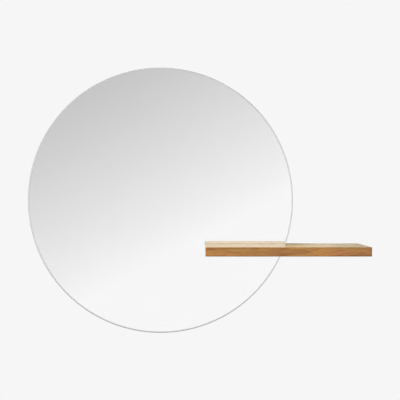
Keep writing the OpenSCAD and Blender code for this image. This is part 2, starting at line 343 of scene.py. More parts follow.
floor_look, tree, place, rays = stage_look("pale_floor")
centred = laid(tree, place, Location=(-AIM.x, 0, 0), Scale=(1, 1, 0))
reach = vectors(tree, "LENGTH", centred, out="Value")
matt_share = eased(tree, reach, 0.4 * FLOOR_R, 0.95 * FLOOR_R, FLOOR_SHADE, 0.0)
matt = add(tree, "ShaderNodeBsdfDiffuse", {"Color": mottling(tree, place, 35.0, 4.0, *FLOOR_TONE)})
sight = vectors(tree, "NORMALIZE", vectors(tree, "SUBTRACT", place, mirror_middle))
sideways = maths(tree, "ABSOLUTE", parts_of(tree, sight)["X"])
in_mirror = GROUND / MIRROR_SHARE
dimmed = eased(tree, sideways, *SIDES, in_mirror, in_mirror * SIDE_SHARE)
shown = between(tree, rays["Is Transmission Ray"], GROUND, dimmed)
glow = add(tree, "ShaderNodeEmission", {"Color": shown, "Strength": 1.0})
seen = maths(tree, "MAXIMUM", rays["Is Camera Ray"], rays["Is Glossy Ray"])
seen = maths(tree, "MAXIMUM", seen, rays["Is Transmission Ray"])
share = maths(tree, "MULTIPLY", seen, maths(tree, "SUBTRACT", 1.0, matt_share))
dress_stage(floor, floor_look, share, matt, glow)
print("floor below the mirror's middle:", FLOOR_DROP, "m")

# %% [markdown]
# ## A strip of the wall
# The shelf's right part runs back to the wall, and in the photograph the corner between them is
# shaded, most of all beside the rim of the glass. A whole wall would hide the back of the
# object, so only the strip above that part of the shelf is made. Camera rays and rays through
# the glass pass it, and it is open from behind, so nothing sees it directly: it bounces light
# and is what the oiled top mirrors. Its colour holds painted shade: the foot beside the rim
# is painted dark, as a painted shadow of the glass, and from there a painted falloff of light
# runs along the shelf.

# %% Strip of wall
WALL_TONE = 0.60
STRIP_UP = 0.16
STRIP_ON = 0.05
STRIP_BEHIND_RIM = 30 * MM
BACK_OFF = 0.4 * MM
SHADED = 0.12
FOOT_LOW = 5 * MM
FOOT_HIGH = 8 * MM
LIGHT_AT_RIM = 1.45
LIGHT_AT_END = 0.65

shelf_low, shelf_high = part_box("shelf_board")
rim_x = (mirror_r**2 - (shelf_high.z - mirror_middle.z) ** 2) ** 0.5
foot = shelf_high.z
top = foot + STRIP_UP
left = glass_high.x - STRIP_BEHIND_RIM
right = shelf_high.x + STRIP_ON
shape = bmesh.new()
corners = ((left, foot), (right, foot), (right, top), (left, top))
shape.faces.new([shape.verts.new((x, BACK_OFF, z)) for x, z in corners])
strip = built("wall_strip", shape)

strip_look, tree, place, rays = stage_look("strip_of_wall")
spot = parts_of(tree, place)
fade_up = eased(tree, spot["Z"], foot + 0.3 * STRIP_UP, top, 1.0, 0.0)
behind = add(tree, "ShaderNodeNewGeometry").outputs["Backfacing"]
seen = maths(tree, "MAXIMUM", rays["Is Camera Ray"], rays["Is Transmission Ray"])
away = maths(tree, "MAXIMUM", seen, behind)
share = maths(tree, "MULTIPLY", maths(tree, "SUBTRACT", 1.0, away), fade_up)
open_air = add(tree, "ShaderNodeBsdfTransparent")
plaster_and_painted_shade = mottling(tree, place, 60.0, 3.0, WALL_TONE - 0.02, WALL_TONE)
# painted light and shade: the plaster's colour falls off along the shelf and is painted dark at the
# foot beside the rim, as the shadow of the glass
painted_falloff = ramp(tree, spot["X"], rim_x, shelf_high.x, LIGHT_AT_RIM, LIGHT_AT_END)
painted_shadow_past_rim = eased(tree, spot["X"], rim_x, rim_x + SHADED)
painted_shadow_off_foot = eased(tree, spot["Z"], foot + FOOT_LOW, foot + FOOT_HIGH)
plaster_and_painted_shade = maths(tree, "MULTIPLY", plaster_and_painted_shade, painted_falloff)
plaster_and_painted_shade = maths(tree, "MULTIPLY", plaster_and_painted_shade, maths(tree, "MAXIMUM", painted_shadow_past_rim, painted_shadow_off_foot))
matt = add(tree, "ShaderNodeBsdfDiffuse", {"Color": plaster_and_painted_shade})
dress_stage(strip, strip_look, share, open_air, matt)
print("strip of wall:", round((right - left) / MM), "mm long")

# %% [markdown]
# ## Effects that several finishes share
# Streaks along X are the trace of a die, a roller or a fibre. Mottling is the uneven sheen that
# every cast, painted or rubbed surface has. The edge band is a mask that grows from nought to
# one towards the rim of a disc round the mirror's axis, for ground glass and cut edges. Each
# could be drawn anew in every material, but as a group with named inputs one edit reaches all.


# %% Helper: open a node group
def open_group(name, kind, inputs, outputs):
    """A new node group, its input sockets by name, and its output node."""
    tree = bpy.data.node_groups.new(name, kind)
    for in_out, labels in (("INPUT", inputs), ("OUTPUT", outputs)):
        for label, socket in labels.items():
            tree.interface.new_socket(name=label, in_out=in_out, socket_type="NodeSocket" + socket)
    source = tree.nodes.new("NodeGroupInput")
    sink = tree.nodes.new("NodeGroupOutput")
    return tree, {label: source.outputs[label] for label in inputs}, sink


# %% Shared shader groups
streaks, socket, sink = open_group(
    "streaks", "ShaderNodeTree", {"Along": "Float", "Across": "Float"}, {"Value": "Float"}
)
wires = {0: socket["Along"], 1: socket["Across"], 2: socket["Across"]}
stretch = add(streaks, "ShaderNodeCombineXYZ", wires).outputs[0]
drawn = vectors(streaks, "MULTIPLY", place_in(streaks), stretch)
streaks.links.new(noise(streaks, drawn, 1.0, 3.0), sink.inputs[0])

inputs = {"Scale": "Float", "Low": "Float", "High": "Float"}
mottle, socket, sink = open_group("mottle", "ShaderNodeTree", inputs, {"Value": "Float"})
clouds = mottling(mottle, place_in(mottle), socket["Scale"], 4.0, socket["Low"], socket["High"])
mottle.links.new(clouds, sink.inputs[0])

edge_band, socket, sink = open_group(
    "edge_band", "ShaderNodeTree", {"From": "Float", "To": "Float"}, {"Mask": "Float"}
)
flat = laid(edge_band, place_in(edge_band), Location=(0, 0, -mirror_middle.z), Scale=(1, 0, 1))
reach = vectors(edge_band, "LENGTH", flat, out="Value")
edge_band.links.new(ramp(edge_band, reach, socket["From"], socket["To"]), sink.inputs[0])
print("shared groups:", streaks.name, mottle.name, edge_band.name)


# %% Helpers for materials
looks = {}


def finish_of(slot, name, **plain):
    """A material for a slot of the record. Its Principled shader starts with these values."""
    looks[slot] = bpy.data.materials.new(name)
    looks[slot].use_nodes = True
    tree = looks[slot].node_tree
    shader = tree.nodes["Principled BSDF"]
    for label, value in plain.items():
        shader.inputs[label.replace("_", " ")].default_value = value
    return tree, shader


def wear(shader, **wires):
    """Wires a Base Color, a Roughness or a Normal that changes over the surface."""
    for label, value in wires.items():
        shader.id_data.links.new(value, shader.inputs[label.replace("_", " ")])


def relief(shader, height, depth, strength=1.0):
    """A fine surface relief."""
    wires = {"Height": height, "Distance": depth, "Strength": strength}
    wear(shader, Normal=add(shader.id_data, "ShaderNodeBump", wires).outputs[0])


def use(tree, group, **values):
    """Places a shared group in a material and returns its only output."""
    return add(tree, "ShaderNodeGroup", values, node_tree=group).outputs[0]


def clouded(tree, scale, low=0.0, high=1.0):
    """The shared mottling with values of its own."""
    return use(tree, mottle, Scale=scale, Low=low, High=high)


def two_tone(tree, mask, low, high):
    """A colour between two by a mask."""
    return add(tree, "ShaderNodeMix", {0: mask, 6: low, 7: high}, data_type="RGBA").outputs[2]


def stained(tree, colour, stain):
    """A colour multiplied by another or by a value."""
    wires = {0: 1.0, 6: colour, 7: stain}
    return add(tree, "ShaderNodeMix", wires, data_type="RGBA", blend_type="MULTIPLY").outputs[2]


def rgb(red, green, blue):
    """A colour that covers."""
    return (red, green, blue, 1)


def grey(value):
    """A grey that covers."""
    return (value, value, value, 1)


print("helpers for materials ready")

# %% [markdown]
# ## Glass and silvering
# The sheet is clear float glass, and the mirror is the silver on its back, seen through 5 mm of
# glass. One shiny disc would do from afar, but making both shows the second, faint image of the
# front face and the grey line of the rim. The rim is ground to a half round and polished with a
# felt wheel, so it is a little rough. Its colour is the grey of glass seen edge on, deepened as
# painted shade for the dark surroundings that a real rim shows. The silver ends where the rim's
# curve begins and darkens in its last millimetres, where its paint was wiped.

# %% Glass and silvering
RIM_WIDE = 2.6 * MM
CUT_FROM = 4.0 * MM
CUT_TO = 2.5 * MM
CLEAR = rgb(0.985, 0.99, 0.988)
EDGE_TINT_AND_SHADE = rgb(0.73, 0.745, 0.74)
SILVER = rgb(0.960, 0.954, 0.956)
CUT_SILVER = rgb(0.62, 0.63, 0.63)

tree, shader = finish_of("clear_glass", "clear_glass", Transmission_Weight=1.0, IOR=1.52)
rim_start = mirror_r - RIM_WIDE
rim = use(tree, edge_band, From=rim_start, To=rim_start + 0.2 * MM)
grind = maths(tree, "MULTIPLY", rim, clouded(tree, 900.0, 0.05, 0.18))
# partly painted shade: the rim's grey is the tint of glass seen edge on, deepened to stand for the
# dark surroundings that a real rim shows
wear(shader, Base_Color=two_tone(tree, rim, CLEAR, EDGE_TINT_AND_SHADE), Roughness=grind)

tree, shader = finish_of("silvering", "silvering", Metallic=1.0, Roughness=0.0)
cut = use(tree, edge_band, From=mirror_r - CUT_FROM, To=mirror_r - CUT_TO)
bright = stained(tree, two_tone(tree, cut, SILVER, CUT_SILVER), clouded(tree, 9.0, 0.992, 1.0))
wear(shader, Base_Color=bright)
print("glass and silvering ready")

# %% [markdown]
# ## Film, tape and panel
# Behind the silver lies a white-grey splinter film with a woven scrim, then strips of dark foam
# tape, then a fibreboard panel with matt black lacquer. Threads could be modelled one by one,
# but they are thinner than a hair, so the weave is two sets of waves. The foam is a cell
# pattern. The lacquer has orange peel and is a little thinner and greyer along the chamfer.

# %% Film, tape and panel
tree, shader = finish_of("safety_film", "woven_film", IOR=1.46)
wires = {"Vector": place_in(tree), "Scale": 130.0, "Distortion": 0.4, "Detail Scale": 2.0}
threads = []
for direction in ("X", "Z"):
    wave = add(tree, "ShaderNodeTexWave", wires, bands_direction=direction)
    threads.append(ramp(tree, wave.outputs["Fac"], 0.72, 0.95))
weave = maths(tree, "MAXIMUM", *threads)
paper = two_tone(tree, weave, rgb(0.47, 0.49, 0.50), rgb(0.62, 0.64, 0.65))
wear(shader, Base_Color=paper, Roughness=clouded(tree, 60.0, 0.42, 0.6))
relief(shader, weave, 0.1 * MM, 0.6)

tree, shader = finish_of("foam_tape", "foam_tape", Roughness=0.9)
cells = add(tree, "ShaderNodeTexVoronoi", {"Vector": place_in(tree), "Scale": 2200.0})
foam = ramp(tree, cells.outputs["Distance"], 0.1, 0.7)
wear(shader, Base_Color=two_tone(tree, foam, grey(0.02), grey(0.04)))
relief(shader, foam, 0.1 * MM)

panel_low, panel_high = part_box("backing_panel")
panel_r = (panel_high.x - panel_low.x) / 2
tree, shader = finish_of("black_panel", "black_lacquer", IOR=1.5)
chamfer = use(tree, edge_band, From=panel_r - 6.2 * MM, To=panel_r - 5.6 * MM)
worn = maths(tree, "MULTIPLY", chamfer, clouded(tree, 180.0))
coat = two_tone(tree, worn, rgb(0.014, 0.014, 0.015), rgb(0.030, 0.029, 0.028))
wear(shader, Base_Color=coat, Roughness=clouded(tree, 22.0, 0.44, 0.58))
relief(shader, clouded(tree, 700.0), 0.05 * MM, 0.5)
print("film, tape and panel ready")

# %% [markdown]
# ## Metals, rubber, nylon and vinyl
# The rails are pressed through a die and anodised, so their sheen runs in fine streaks along X.
# The rest differ only in their numbers: two tones in clouds, an uneven sheen and, where there is
# one, a fine skin. The zinc on the screws is bluish with a faint yellow bloom, the inserts are
# turned brass, the bumpers dusty rubber, the sleeves natural nylon and the pads soft vinyl. So
# one function makes all five, and each call says what is its own.

# %% Metals and plastics
tree, shader = finish_of("aluminium", "satin_aluminium", Metallic=1.0)
line = use(tree, streaks, Along=4.0, Across=2600.0)
tone = two_tone(tree, line, rgb(0.66, 0.67, 0.68), rgb(0.78, 0.79, 0.80))
wear(shader, Base_Color=tone, Roughness=ramp(tree, line, 0.25, 0.75, 0.30, 0.46))
relief(shader, line, 0.02 * MM, 0.5)


def mottled(slot, name, cloud, tones, sheen, skin=None, **plain):
    """cloud is a scale, sheen a scale and two roughnesses, skin a scale, depth and strength."""
    tree, shader = finish_of(slot, name, **plain)
    tone = two_tone(tree, clouded(tree, cloud), *tones)
    wear(shader, Base_Color=tone, Roughness=clouded(tree, *sheen))
    if skin:
        relief(shader, clouded(tree, skin[0]), *skin[1:])
    print("finish:", name)


mottled(
    "zinc_steel", "zinc_plate", 420.0, (rgb(0.62, 0.65, 0.69), rgb(0.70, 0.68, 0.62)),
    sheen=(1500.0, 0.22, 0.42), skin=(3000.0, 0.02 * MM, 0.4), Metallic=1.0,
)
mottled(
    "brass", "turned_brass", 300.0, (rgb(0.80, 0.60, 0.27), rgb(0.66, 0.46, 0.20)),
    sheen=(900.0, 0.25, 0.4), Metallic=1.0,
)
mottled(
    "bumper_rubber", "bumper_rubber", 150.0, (grey(0.028), grey(0.05)),
    sheen=(500.0, 0.62, 0.82), skin=(1800.0, 0.05 * MM, 1.0), IOR=1.5,
)
mottled(
    "nylon", "natural_nylon", 250.0, (rgb(0.80, 0.79, 0.74), rgb(0.87, 0.86, 0.82)),
    sheen=(700.0, 0.38, 0.5), IOR=1.53, Subsurface_Weight=0.2,
)
mottled(
    "soft_vinyl", "soft_vinyl", 300.0, (rgb(0.74, 0.77, 0.77), rgb(0.82, 0.84, 0.84)),
    sheen=(800.0, 0.3, 0.45), IOR=1.5,
)

# %% [markdown]
# ## Oak
# The board is one piece of oak with its grain along X. A picture wrapped round it would break at
# every edge, so the wood is a solid: growth rings are shells round a pith that lies in front of
# the board, level with its lower half, and every face simply cuts through them. So the front
# shows flat flames, the top close lines, and the ends the arcs of the rings. Slow noise pushes
# the rings about, and at the right they swirl, as round a branch.

# %% Oak: growth rings
PITH = (-0.262, -0.324)
RING = 2.8 * MM
SWIRL_FROM = 0.34
SWIRL_TO = 0.50
SWIRL_RISE = 0.018
SLANT = (0, math.radians(1.2), math.radians(0.3))
ALONG_PITH = 0.012
SLOW_PUSH = 14 * MM
FINE_PUSH = 2.4 * MM

tree, shader = finish_of(
    "oak", "oiled_oak", IOR=1.5, Specular_IOR_Level=0.1,
    Coat_Weight=0.8, Coat_Roughness=0.15, Coat_Tint=rgb(1.0, 0.97, 0.88),
    Sheen_Weight=0.5, Sheen_Roughness=0.3, Sheen_Tint=rgb(1.0, 0.96, 0.62),
)
where = add(tree, "ShaderNodeTexCoord").outputs
spot = parts_of(tree, where["Object"])
swirl = eased(tree, spot["X"], SWIRL_FROM, SWIRL_TO, 0.0, -SWIRL_RISE)
bend = add(tree, "ShaderNodeCombineXYZ", {2: swirl}).outputs[0]
place = vectors(tree, "ADD", where["Object"], bend)


def drawn_out(along, across, detail=2.0, shift=0.0):
    """Noise stretched along the grain: along and across are its marks to the metre."""
    drawn = laid(tree, place, Location=(shift, shift, 0), Scale=(along, across, across))
    return noise(tree, drawn, 1.0, detail, Roughness=0.55)


slanted = laid(tree, place, Rotation=SLANT)
from_pith = laid(tree, slanted, Location=(0, -PITH[0], -PITH[1]), Scale=(ALONG_PITH, 1, 1))
radius = vectors(tree, "LENGTH", from_pith, out="Value")
slow = maths(tree, "MULTIPLY_ADD", drawn_out(2.0, 30.0, shift=14.2), SLOW_PUSH, radius)
wavy = maths(tree, "MULTIPLY_ADD", drawn_out(16.0, 140.0, shift=3.0), FINE_PUSH, slow)
ring = maths(tree, "FRACT", maths(tree, "DIVIDE", wavy, RING))
late = eased(tree, ring, 0.15, 0.92)
late = maths(tree, "MULTIPLY", late, ramp(tree, ring, 0.93, 1.0, 1.0, 0.0))
early = ramp(tree, ring, 0.30, 0.62, 1.0, 0.0)
print("oak rings:", RING / MM, "mm")

# %% [markdown]
# Between the rings run fibres, short bright rays and, in the early wood, pores, which are noise
# drawn out along the grain and dots where the grain is cut across. The heart turns to paler,
# yellower sap wood behind the front edge, so the top is paler than the front: partly sap, partly
# painted sheen. The long edges of the front and back are darker, as painted shade on their
# rounding, and the right end is darker, as painted shade away from the light on the left. The
# cut ends, which drink more oil, are darkest.

# %% Oak: colour and surface
HEART_RED = rgb(0.425, 0.176, 0.046)
HEART_BROWN = rgb(0.392, 0.202, 0.046)
SAP_AND_PAINTED_SHEEN = rgb(0.410, 0.245, 0.058)
LATE_STAIN = rgb(0.70, 0.62, 0.54)
RAY_STAIN = rgb(0.76, 0.66, 0.58)
END_STAIN = rgb(0.78, 0.66, 0.58)
SAP_SHEEN_FROM = -0.149
SAP_SHEEN_TO = -0.115
RIGHT_FROM = 0.40
RIGHT_TO = 0.525
RIGHT_SHADE = 0.87
EDGE_SHADE_FROM = 2.6 * MM
EDGE_SHADE_TO = 0.8 * MM
PAINTED_EDGE_SHADE = 0.75
PORE_SHADE = 0.62

fibre = drawn_out(30.0, 1500.0, detail=4.0)
broad = drawn_out(7.0, 110.0, shift=7.0)
ray = ramp(tree, drawn_out(42.0, 330.0, detail=1.0, shift=17.0), 0.57, 0.68)
pore = ramp(tree, drawn_out(75.0, 2400.0, detail=1.0, shift=11.0), 0.58, 0.70)
pore = maths(tree, "MULTIPLY", pore, early)
hue = ramp(tree, drawn_out(9.0, 40.0, shift=5.0), 0.35, 0.65)
wood = two_tone(tree, hue, HEART_RED, HEART_BROWN)
# partly painted sheen: the sap tint behind the front edge makes the top paler than the front
wood = two_tone(tree, ramp(tree, spot["Y"], SAP_SHEEN_FROM, SAP_SHEEN_TO), wood, SAP_AND_PAINTED_SHEEN)
wood = stained(tree, wood, two_tone(tree, late, grey(1.0), LATE_STAIN))
wood = stained(tree, wood, two_tone(tree, ray, grey(1.0), RAY_STAIN))

faced = parts_of(tree, where["Normal"])
long_grain = ramp(tree, maths(tree, "ABSOLUTE", faced["X"]), 0.5, 0.9, 1.0, 0.0)
upright = ramp(tree, maths(tree, "ABSOLUTE", faced["Z"]), 0.5, 0.95, 1.0, 0.0)
# painted shade: the long edges of the front and back are darkened, as if their rounding were in
# shade
half_t = (shelf_high.z - shelf_low.z) / 2
off_middle = maths(tree, "SUBTRACT", spot["Z"], (shelf_low.z + shelf_high.z) / 2)
off_middle = maths(tree, "ABSOLUTE", off_middle)
painted_edge_shade = ramp(tree, off_middle, half_t - EDGE_SHADE_FROM, half_t - EDGE_SHADE_TO)
painted_edge_shade = maths(tree, "MULTIPLY", painted_edge_shade, upright)
grain_and_painted_shade = maths(tree, "MULTIPLY_ADD", fibre, 0.36, 0.82)
for shade in (
    ramp(tree, broad, 0.30, 0.70, 0.88, 1.12),
    ramp(tree, pore, 0.0, 1.0, 1.0, PORE_SHADE),
    # painted shade: the right end is darker, away from the light on the left
    ramp(tree, spot["X"], RIGHT_FROM, RIGHT_TO, 1.0, RIGHT_SHADE),
    ramp(tree, painted_edge_shade, 0.0, 1.0, 1.0, PAINTED_EDGE_SHADE),
):
    grain_and_painted_shade = maths(tree, "MULTIPLY", grain_and_painted_shade, shade)
wood = stained(tree, wood, two_tone(tree, long_grain, END_STAIN, grey(1.0)))
wood = stained(tree, wood, grain_and_painted_shade)
rough = maths(tree, "MULTIPLY_ADD", fibre, 0.12, 0.30)
wear(shader, Base_Color=wood, Roughness=maths(tree, "MULTIPLY_ADD", pore, 0.2, rough))
grain_height = maths(tree, "MULTIPLY_ADD", pore, -1.0, maths(tree, "MULTIPLY", fibre, 0.35))
relief(shader, grain_height, 0.04 * MM, 0.6)
print("nodes in the oak:", len(tree.nodes))

# %% [markdown]
# ## Turned discs
# Glass, silvering, film, panel and bumpers follow one rule: a rectangle of radius by thickness
# with its two outer corners eased, turned round an axis square to the wall, and drilled in a
# row. Each could be modelled by hand, but one geometry tree holds the rule for all. The rim's
# outline has four points set by index, a Fillet eases them, a sweep round the full circle turns
# them, and two whole faces close the disc. The flat faces stay flat-shaded, because the
# faintest shading across a mirror bends its picture. The export drops instances and modifiers,
# so each result is kept as a plain mesh.


# %% Helpers: from a tree to a mesh
def keep_as_mesh(host):
    """Turns what the modifiers of an object show into its own mesh, and takes them off."""
    shown = host.evaluated_get(bpy.context.evaluated_depsgraph_get())
    mesh = bpy.data.meshes.new_from_object(shown)
    host.modifiers.clear()
    host.data = mesh
    return host


def grow(name, tree, **sizes):
    """Runs a geometry tree with these sizes and keeps the result as a plain mesh."""
    host = built(name, bmesh.new())
    modifier = host.modifiers.new("shape", "NODES")
    modifier.node_group = tree
    for item in tree.interface.items_tree:
        if item.in_out == "INPUT":
            modifier[item.identifier] = sizes[item.name.replace(" ", "_")]
    return keep_as_mesh(host)


def stand_in(piece, node):
    """Puts a finished piece in place of a node of the frame and prints its size."""
    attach(piece, "root")
    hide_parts(node)
    counted = bmesh.new()
    counted.from_mesh(piece.data)
    open_edges = sum(not edge.is_manifold for edge in counted.edges)
    counted.free()
    low = [min(v.co[i] for v in piece.data.vertices) / MM for i in range(3)]
    high = [max(v.co[i] for v in piece.data.vertices) / MM for i in range(3)]
    span = ", ".join(f"{a:.1f} to {b:.1f}" for a, b in zip(low, high))
    print(f"{piece.name}: {len(piece.data.polygons)} faces, {open_edges} open edges, {span} mm")


# %% Tree: turned disc
LIP = 0.5 * MM
OVER = 1 * MM
WELD = 0.003 * MM
TO_WALL = (math.radians(90), 0, 0)

turned_disc, socket, sink = open_group(
    "turned_disc",
    "GeometryNodeTree",
    {
        "Middle": "Vector", "Radius": "Float", "Thickness": "Float",
        "Front Edge": "Float", "Wall Edge": "Float", "Edge Steps": "Int", "Segments": "Int",
        "Hole Count": "Int", "First Hole": "Vector", "Hole Step": "Vector",
        "Hole Diameter": "Float", "Pocket Diameter": "Float", "Pocket Depth": "Float",
        "Material": "Material",
    },
    {"Geometry": "Geometry"},
)
g = turned_disc


def make(kind, wires=None, **settings):
    """One step of the geometry tree that is open as g."""
    return add(g, "GeometryNode" + kind, wires, **settings).outputs[0]


def by_index(kind, values):
    """A field that gives each point of the outline its own value."""
    made = add(g, "GeometryNodeIndexSwitch", data_type=kind)
    while len(made.index_switch_items) < len(values):
        made.index_switch_items.new()
    g.links.new(make("InputIndex"), made.inputs[0])
    for number, value in enumerate(values, start=1):
        if isinstance(value, bpy.types.NodeSocket):
            g.links.new(value, made.inputs[number])
        else:
            made.inputs[number].default_value = value
    return made.outputs[0]


def vector(**parts):
    """A vector from its X, Y and Z."""
    return add(g, "ShaderNodeCombineXYZ", parts).outputs[0]


front_in = maths(g, "ADD", socket["Front Edge"], LIP)
wall_in = maths(g, "ADD", socket["Wall Edge"], LIP)
corners = [
    vector(X=maths(g, "MULTIPLY", front_in, -1.0)),
    (0, 0, 0),
    vector(Y=socket["Thickness"]),
    vector(X=maths(g, "MULTIPLY", wall_in, -1.0), Y=socket["Thickness"]),
]
points = make("MeshLine", {"Count": 4})
outline = make("SetPosition", {"Geometry": points, "Position": by_index("VECTOR", corners)})
outline = make("MeshToCurve", {0: outline})
easing = by_index("FLOAT", [0.0, socket["Front Edge"], socket["Wall Edge"], 0.0])
wires = {"Curve": outline, "Count": socket["Edge Steps"], "Radius": easing}
outline = make("FilletCurve", wires, mode="POLY")
wires = {"Resolution": socket["Segments"], "Radius": socket["Radius"]}
circle = make("CurvePrimitiveCircle", wires)
rim = make("CurveToMesh", {"Curve": circle, "Profile Curve": outline})
shell = add(g, "GeometryNodeJoinGeometry", {0: rim})
for inset, depth, turned_over in ((front_in, 0.0, False), (wall_in, -1.0, True)):
    radius = maths(g, "SUBTRACT", socket["Radius"], inset)
    wires = {"Vertices": socket["Segments"], "Radius": radius}
    cap = make("MeshCircle", wires, fill_type="NGON")
    sunk = vector(Z=maths(g, "MULTIPLY", socket["Thickness"], depth))
    cap = make("Transform", {0: cap, "Translation": sunk})
    if turned_over:
        cap = make("FlipFaces", {0: cap})
    g.links.new(cap, shell.inputs[0])
disc = make("MergeByDistance", {0: shell.outputs[0], "Distance": WELD})
drilled = make("Transform", {0: disc, "Rotation": TO_WALL, "Translation": socket["Middle"]})
print("turned disc: outline and sweep", len(g.nodes), "nodes")

# %% [markdown]
# The holes are cylinders set on a line and cut out together, and wider, shallower ones make the
# pockets for the bolt heads. A drill is twice as long as the hole is deep, since it stands with
# its middle on the wall side.

# %% Tree: the row of holes and pockets
FLAT_LIMIT = 0.9999
CRISP = math.radians(30)


def in_row(count, first, step):
    """Points in a row, for holes or for fixings."""
    return make("MeshLine", {"Count": count, "Start Location": first, "Offset": step})


row = in_row(socket["Hole Count"], socket["First Hole"], socket["Hole Step"])
for bore, depth in (
    ("Hole Diameter", maths(g, "MULTIPLY_ADD", socket["Thickness"], 2.0, 2 * OVER)),
    ("Pocket Diameter", maths(g, "MULTIPLY", socket["Pocket Depth"], 2.0)),
):
    wires = {"Vertices": 64, "Radius": maths(g, "DIVIDE", socket[bore], 2.0), "Depth": depth}
    wires = {"Points": row, "Instance": make("MeshCylinder", wires), "Rotation": TO_WALL}
    drills = make("RealizeInstances", {0: make("InstanceOnPoints", wires)})
    wires = {"Mesh 1": drilled, "Mesh 2": drills}
    drilled = make("MeshBoolean", wires, operation="DIFFERENCE", solver="EXACT")


def shaded(geometry, selection, smooth, **settings):
    """Sets smooth or crisp shading where the selection holds."""
    wires = {0: geometry, "Selection": selection, "Shade Smooth": smooth}
    return make("SetShadeSmooth", wires, **settings)


def close_tree(geometry):
    """Makes copies real, gives the material and ends the open tree."""
    real = make("RealizeInstances", {0: geometry})
    g.links.new(make("SetMaterial", {0: real, "Material": socket["Material"]}), sink.inputs[0])
    print(g.name, "has", len(g.nodes), "nodes")


facing = maths(g, "ABSOLUTE", parts_of(g, make("InputNormal"))["Y"])
curved = add(g, "FunctionNodeCompare", {0: facing, 1: FLAT_LIMIT}, operation="LESS_THAN")
bend = make("InputMeshEdgeAngle")
crisp = add(g, "FunctionNodeCompare", {0: bend, 1: CRISP}, operation="GREATER_THAN")
smooth = shaded(drilled, True, curved.outputs[0])
close_tree(shaded(smooth, crisp.outputs[0], False, domain="EDGE"))

# %% [markdown]
# The bolts stand in a row through the glass, and every layer is drilled on the same points, so
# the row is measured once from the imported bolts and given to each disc. Only the panel has
# pockets. The glass stays a hair off the silver behind it, so that no two faces share a place.

# %% Glass, silver, film and panel
BOLTS = 3
GLASS_HOLE = 12 * MM
AIR = 0.02 * MM
HALF_ROUND = 0.499 * (glass_high.y - glass_low.y - AIR)

bolt_low, bolt_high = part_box("shelf_bolts")
bolt_z = (bolt_low.z + bolt_high.z) / 2
head_r = (bolt_high.z - bolt_low.z) / 2
bolt_pitch = (bolt_high.x - bolt_low.x - 2 * head_r) / (BOLTS - 1)
first_bolt_x = bolt_low.x + head_r

PLAIN = {
    "Front_Edge": 0.0, "Wall_Edge": 0.0, "Edge_Steps": 1, "Segments": 360, "Hole_Count": 0,
    "First_Hole": (0.0, 0.0, 0.0), "Hole_Step": (0.0, 0.0, 0.0), "Hole_Diameter": GLASS_HOLE,
    "Pocket_Diameter": 1 * MM, "Pocket_Depth": 1 * MM,
}


def layer(name, node, slot, shy=0.0, **own):
    """A disc that stands for one node of the frame and is plain but for sizes of its own."""
    low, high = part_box(node)
    high.y -= shy
    sizes = {
        "Middle": (mirror_middle.x, low.y, mirror_middle.z),
        "Radius": (high.x - low.x) / 2,
        "Thickness": high.y - low.y,
        "Hole_Count": BOLTS,
        "First_Hole": (first_bolt_x, high.y, bolt_z),
        "Hole_Step": (bolt_pitch, 0.0, 0.0),
        "Material": looks[slot],
    }
    stand_in(grow(name, turned_disc, **{**PLAIN, **sizes, **own}), node)


layer(
    "glass_disc", "mirror_glass", "clear_glass",
    shy=AIR, Front_Edge=HALF_ROUND, Wall_Edge=HALF_ROUND, Edge_Steps=10,
)
layer("silvering_disc", "silver_layer", "silvering")
layer("film_disc", "safety_film", "safety_film")
layer(
    "panel_disc", "backing_panel", "black_panel", Front_Edge=0.4 * MM, Wall_Edge=6 * MM,
    Hole_Diameter=6.6 * MM, Pocket_Diameter=20 * MM, Pocket_Depth=4 * MM,
)

# %% [markdown]
# ## Rows of fixings
# Bolts, washers, screws and bumpers stand in rows. They could be copied one by one, but a
# second tree sets copies of one made piece along a line, each turned by a random angle, as
# screws are when somebody has driven them. The seed is fixed, so they stay where they are. The
# row's place, height and spacing come from the box of its node.

# %% Tree: row of fixings
fixing_row, socket, sink = open_group(
    "fixing_row",
    "GeometryNodeTree",
    {
        "Pattern": "Object", "Count": "Int", "First": "Vector", "Step": "Vector",
        "Turn": "Float", "Seed": "Int", "Material": "Material",
    },
    {"Geometry": "Geometry"},
)
g = fixing_row
pattern = add(g, "GeometryNodeObjectInfo", {"Object": socket["Pattern"]}).outputs["Geometry"]
row = in_row(socket["Count"], socket["First"], socket["Step"])
wires = {3: socket["Turn"], "Seed": socket["Seed"]}
chance = add(g, "FunctionNodeRandomValue", wires, data_type="FLOAT").outputs[1]
wires = {"Points": row, "Instance": pattern, "Rotation": vector(Y=chance)}
close_tree(make("InstanceOnPoints", wires))


def round_size(node):
    """Radius and length of the pieces in a row, from the box of its node."""
    low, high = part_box(node)
    return (high.z - low.z) / 2, high.y - low.y


def set_in_row(name, pattern, node, slot, count, turn, seed, lift=0.0):
    """Copies of a fixing in place of a node, each turned by up to this many degrees."""
    low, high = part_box(node)
    radius = round_size(node)[0]
    pitch = (high.x - low.x - 2 * radius) / (count - 1)
    piece = grow(
        name, fixing_row, Pattern=pattern, Count=count, Step=(pitch, 0.0, 0.0),
        First=(low.x + radius, high.y - lift, (low.z + high.z) / 2),
        Turn=math.radians(turn), Seed=seed, Material=looks[slot],
    )
    bpy.data.objects.remove(pattern)
    stand_in(piece, node)


# %% [markdown]
# One fixing is a stack of loops of points, joined by a skin of faces. That makes turned heads
# and shanks, threads, washers, and the tools that cut recesses and pockets.


